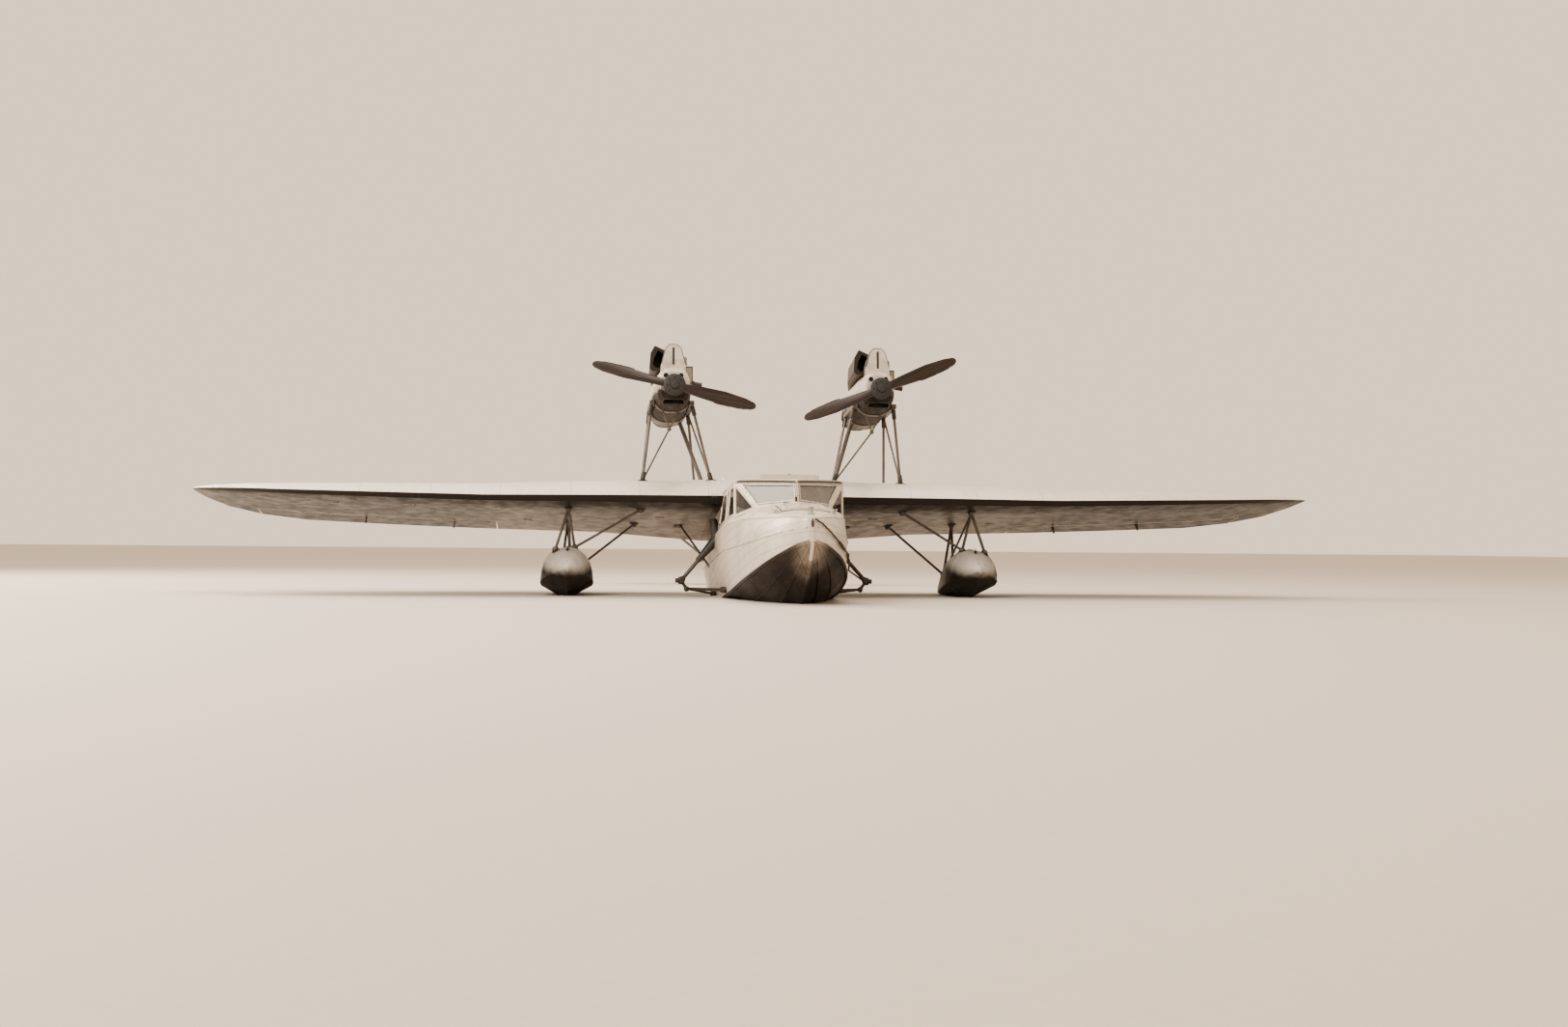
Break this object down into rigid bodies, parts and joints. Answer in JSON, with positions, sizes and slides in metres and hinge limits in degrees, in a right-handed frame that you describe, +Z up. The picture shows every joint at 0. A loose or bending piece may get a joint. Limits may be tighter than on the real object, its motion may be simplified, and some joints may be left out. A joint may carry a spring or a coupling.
{
  "type": "flying boat",
  "caption": "Twin-engined flying boat with a high cantilever wing, hollow cabin, outboard floats, turning propellers, hinged hatches and moving control surfaces.",
  "frame": {"origin": "on the centre line, at the water surface, abreast the leading edge of the wing root", "axes": "+X to the craft's port side, +Y aft, +Z up; the hull floats trimmed 6 degrees bow up"},
  "size_m": [13.71, 10.5603, 3.5016],
  "materials": {
    "silver_paint": "satin aluminium paint on plywood and sheet",
    "bottom_paint": "worn dark varnish and paint",
    "strut_paint": "semi-gloss dark enamel",
    "exhaust_steel": "heat-stained steel",
    "engine_iron": "plain iron",
    "propeller_wood": "dark varnished laminated wood",
    "window_glass": "clear",
    "seat_leather": "worn leather",
    "floor_ply": "oiled plywood boards",
    "panel_paint": "matt black enamel"
  },
  "bodies": {
    "airframe": {"planing_bottom": "bottom_paint", "afterbody_bottom": "bottom_paint", "bow_deck": "silver_paint", "aft_fuselage": "silver_paint", "cabin_roof": "silver_paint", "wing_centre": "silver_paint", "bollard": "strut_paint", "cabin_floor": "floor_ply", "instrument_panel": "panel_paint", "windscreen_frame": "silver_paint", "tailplane": "silver_paint", "fin": "silver_paint", "cabin_side_starboard": "silver_paint", "seat_front_starboard": "seat_leather", "seat_rear_starboard": "seat_leather", "wing_starboard": "silver_paint", "windscreen_pane_starboard": "window_glass", "quarter_pane_starboard": "window_glass", "front_window_starboard": "window_glass", "rear_window_starboard": "window_glass", "nacelle_starboard": "silver_paint", "engine_block_starboard": "engine_iron", "cylinder_cowl_starboard": "silver_paint", "air_scoop_starboard": "silver_paint", "exhaust_starboard": "exhaust_steel", "engine_mount_starboard": "strut_paint", "float_starboard": "silver_paint", "float_struts_starboard": "strut_paint", "gear_legs_starboard": "strut_paint", "gear_stay_starboard": "strut_paint", "tail_struts_starboard": "strut_paint", "cabin_side_port": "silver_paint", "seat_front_port": "seat_leather", "seat_rear_port": "seat_leather", "wing_port": "silver_paint", "windscreen_pane_port": "window_glass", "quarter_pane_port": "window_glass", "front_window_port": "window_glass", "rear_window_port": "window_glass", "nacelle_port": "silver_paint", "engine_block_port": "engine_iron", "cylinder_cowl_port": "silver_paint", "air_scoop_port": "silver_paint", "exhaust_port": "exhaust_steel", "engine_mount_port": "strut_paint", "float_port": "silver_paint", "float_struts_port": "strut_paint", "gear_legs_port": "strut_paint", "gear_stay_port": "strut_paint", "tail_struts_port": "strut_paint"},
    "propeller_starboard": {"propeller_starboard": "propeller_wood"},
    "propeller_port": {"propeller_port": "propeller_wood"},
    "aileron_starboard": {"aileron_starboard": "silver_paint"},
    "aileron_port": {"aileron_port": "silver_paint"},
    "elevator_starboard": {"elevator_starboard": "silver_paint"},
    "elevator_port": {"elevator_port": "silver_paint"},
    "rudder": {"rudder": "silver_paint"},
    "bow_hatch": {"bow_hatch": "silver_paint"},
    "roof_hatch": {"roof_hatch": "silver_paint"}
  },
  "joints": [
    {"name": "propeller_starboard_spin", "type": "hinge", "parent": "airframe", "child": "propeller_starboard", "pos_m": [-1.23, 0.13774, 2.48811], "axis": [0, 0.9945, -0.1045], "continuous": true},
    {"name": "propeller_port_spin", "type": "hinge", "parent": "airframe", "child": "propeller_port", "pos_m": [1.23, 0.13774, 2.48811], "axis": [0, 0.9945, -0.1045], "continuous": true},
    {"name": "aileron_port_hinge", "type": "hinge", "parent": "airframe", "child": "aileron_port", "pos_m": [3.35, 2.04534, 0.93018], "axis": [0.9846, -0.169, 0.0449], "range_deg": [-20, 20]},
    {"name": "aileron_starboard_hinge", "type": "hinge", "parent": "airframe", "child": "aileron_starboard", "pos_m": [-3.35, 2.04534, 0.93018], "axis": [0.9846, 0.169, -0.0449], "range_deg": [-20, 20]},
    {"name": "elevator_starboard_hinge", "type": "hinge", "parent": "airframe", "child": "elevator_starboard", "pos_m": [-1, 7.0838, 1.03408], "axis": [1, 0, 0], "range_deg": [-22, 26]},
    {"name": "elevator_port_hinge", "type": "hinge", "parent": "airframe", "child": "elevator_port", "pos_m": [1, 7.0838, 1.03408], "axis": [1, 0, 0], "range_deg": [-22, 26]},
    {"name": "rudder_hinge", "type": "hinge", "parent": "airframe", "child": "rudder", "pos_m": [0, 7.20055, 0.90115], "axis": [0, 0.1045, 0.9945], "range_deg": [-25, 25]},
    {"name": "bow_hatch_hinge", "type": "hinge", "parent": "airframe", "child": "bow_hatch", "pos_m": [0, -1.81352, 1.07634], "axis": [-1, 0, 0], "range_deg": [0, 80]},
    {"name": "roof_hatch_hinge", "type": "hinge", "parent": "airframe", "child": "roof_hatch", "pos_m": [0, -0.33998, 1.42522], "axis": [-1, 0, 0], "range_deg": [0, 95]}
  ],
  "couplings": [
    {"joint": "aileron_starboard_hinge", "follows": "aileron_port_hinge", "ratio": -1},
    {"joint": "elevator_port_hinge", "follows": "elevator_starboard_hinge", "ratio": 1}
  ]
}
